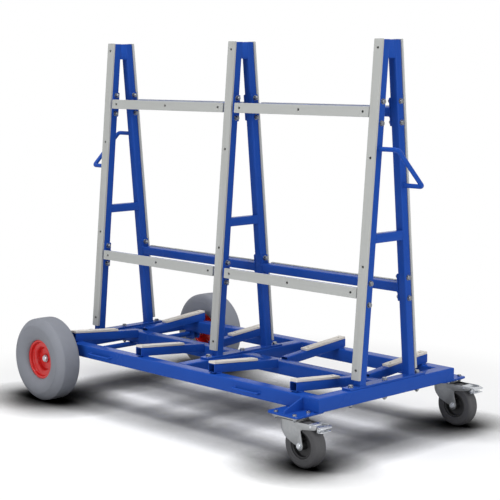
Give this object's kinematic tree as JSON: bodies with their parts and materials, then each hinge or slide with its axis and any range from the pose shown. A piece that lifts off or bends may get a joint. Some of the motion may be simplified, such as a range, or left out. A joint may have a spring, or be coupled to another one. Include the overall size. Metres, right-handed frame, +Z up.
{
  "type": "slab buggy",
  "caption": "Wheeled A-frame trolley for slabs that lean on both sides: padded sloping arms, wear strips, big fixed rear wheels, braked swivel casters and pull handles.",
  "frame": {"origin": "on the floor, under the middle of the trolley", "axes": "+X towards the end with the swivel casters, +Y towards the left side, +Z up"},
  "size_m": [2.03, 1.204, 1.723],
  "materials": {
    "blue_paint": "blue powder coat, satin gloss",
    "grey_strip": "pale grey hard plastic, matte",
    "grey_foam_tyre": "grey solid foam tyre, matte",
    "red_rim": "red gloss paint on pressed steel",
    "zinc_steel": "dull zinc-plated pressed steel",
    "bright_zinc": "bright zinc-plated steel",
    "dark_rubber": "dark grey solid rubber, matte",
    "black_hub": "black nylon wheel body"
  },
  "bodies": {
    "chassis": {"base_frame": "blue_paint", "support_arm_right_1": "blue_paint", "support_arm_right_2": "blue_paint", "support_arm_right_3": "blue_paint", "support_arm_right_4": "blue_paint", "support_arm_left_1": "blue_paint", "support_arm_left_2": "blue_paint", "support_arm_left_3": "blue_paint", "support_arm_left_4": "blue_paint", "arm_pad_right_1": "grey_strip", "arm_pad_right_2": "grey_strip", "arm_pad_right_3": "grey_strip", "arm_pad_right_4": "grey_strip", "arm_pad_left_1": "grey_strip", "arm_pad_left_2": "grey_strip", "arm_pad_left_3": "grey_strip", "arm_pad_left_4": "grey_strip", "a_frame_rear": "blue_paint", "a_frame_middle": "blue_paint", "a_frame_front": "blue_paint", "rail_lower_right_rear": "blue_paint", "rail_lower_right_front": "blue_paint", "rail_upper_right_rear": "blue_paint", "rail_upper_right_front": "blue_paint", "rail_lower_left_rear": "blue_paint", "rail_lower_left_front": "blue_paint", "rail_upper_left_rear": "blue_paint", "rail_upper_left_front": "blue_paint", "rail_strip_lower_right_rear": "grey_strip", "rail_strip_lower_right_front": "grey_strip", "rail_strip_upper_right_rear": "grey_strip", "rail_strip_upper_right_front": "grey_strip", "rail_strip_lower_left_rear": "grey_strip", "rail_strip_lower_left_front": "grey_strip", "rail_strip_upper_left_rear": "grey_strip", "rail_strip_upper_left_front": "grey_strip", "leg_strip_right_rear": "grey_strip", "leg_strip_right_middle": "grey_strip", "leg_strip_right_front": "grey_strip", "leg_strip_left_rear": "grey_strip", "leg_strip_left_middle": "grey_strip", "leg_strip_left_front": "grey_strip", "pull_handle_front": "blue_paint", "pull_handle_rear": "blue_paint", "rear_axle": "bright_zinc", "caster_plate_right": "zinc_steel", "caster_plate_left": "zinc_steel"},
    "rear_wheel_right": {"rear_tyre_right": "grey_foam_tyre", "rear_rim_right": "red_rim"},
    "rear_wheel_left": {"rear_tyre_left": "grey_foam_tyre", "rear_rim_left": "red_rim"},
    "caster_right": {"caster_fork_right": "zinc_steel"},
    "caster_wheel_right": {"caster_tyre_right": "dark_rubber", "caster_hub_right": "black_hub"},
    "brake_right": {"brake_pedal_right": "bright_zinc"},
    "caster_left": {"caster_fork_left": "zinc_steel"},
    "caster_wheel_left": {"caster_tyre_left": "dark_rubber", "caster_hub_left": "black_hub"},
    "brake_left": {"brake_pedal_left": "bright_zinc"}
  },
  "joints": [
    {"name": "rear_wheel_right_spin", "type": "hinge", "parent": "chassis", "child": "rear_wheel_right", "pos_m": [-0.815, -0.538, 0.2], "axis": [0, 1, 0], "continuous": true},
    {"name": "rear_wheel_left_spin", "type": "hinge", "parent": "chassis", "child": "rear_wheel_left", "pos_m": [-0.815, 0.538, 0.2], "axis": [0, 1, 0], "continuous": true},
    {"name": "caster_right_swivel", "type": "hinge", "parent": "chassis", "child": "caster_right", "pos_m": [0.814, -0.496, 0.1919], "axis": [0, 0, 1], "continuous": true},
    {"name": "caster_right_spin", "type": "hinge", "parent": "caster_right", "child": "caster_wheel_right", "pos_m": [0.89, -0.496, 0.095], "axis": [0, 1, 0], "continuous": true},
    {"name": "caster_right_brake", "type": "hinge", "parent": "caster_right", "child": "brake_right", "pos_m": [0.95, -0.496, 0.1835], "axis": [0, 1, 0], "range_deg": [0, 8]},
    {"name": "caster_left_swivel", "type": "hinge", "parent": "chassis", "child": "caster_left", "pos_m": [0.814, 0.496, 0.1919], "axis": [0, 0, 1], "continuous": true},
    {"name": "caster_left_spin", "type": "hinge", "parent": "caster_left", "child": "caster_wheel_left", "pos_m": [0.89, 0.496, 0.095], "axis": [0, 1, 0], "continuous": true},
    {"name": "caster_left_brake", "type": "hinge", "parent": "caster_left", "child": "brake_left", "pos_m": [0.95, 0.496, 0.1835], "axis": [0, 1, 0], "range_deg": [0, 8]}
  ]
}
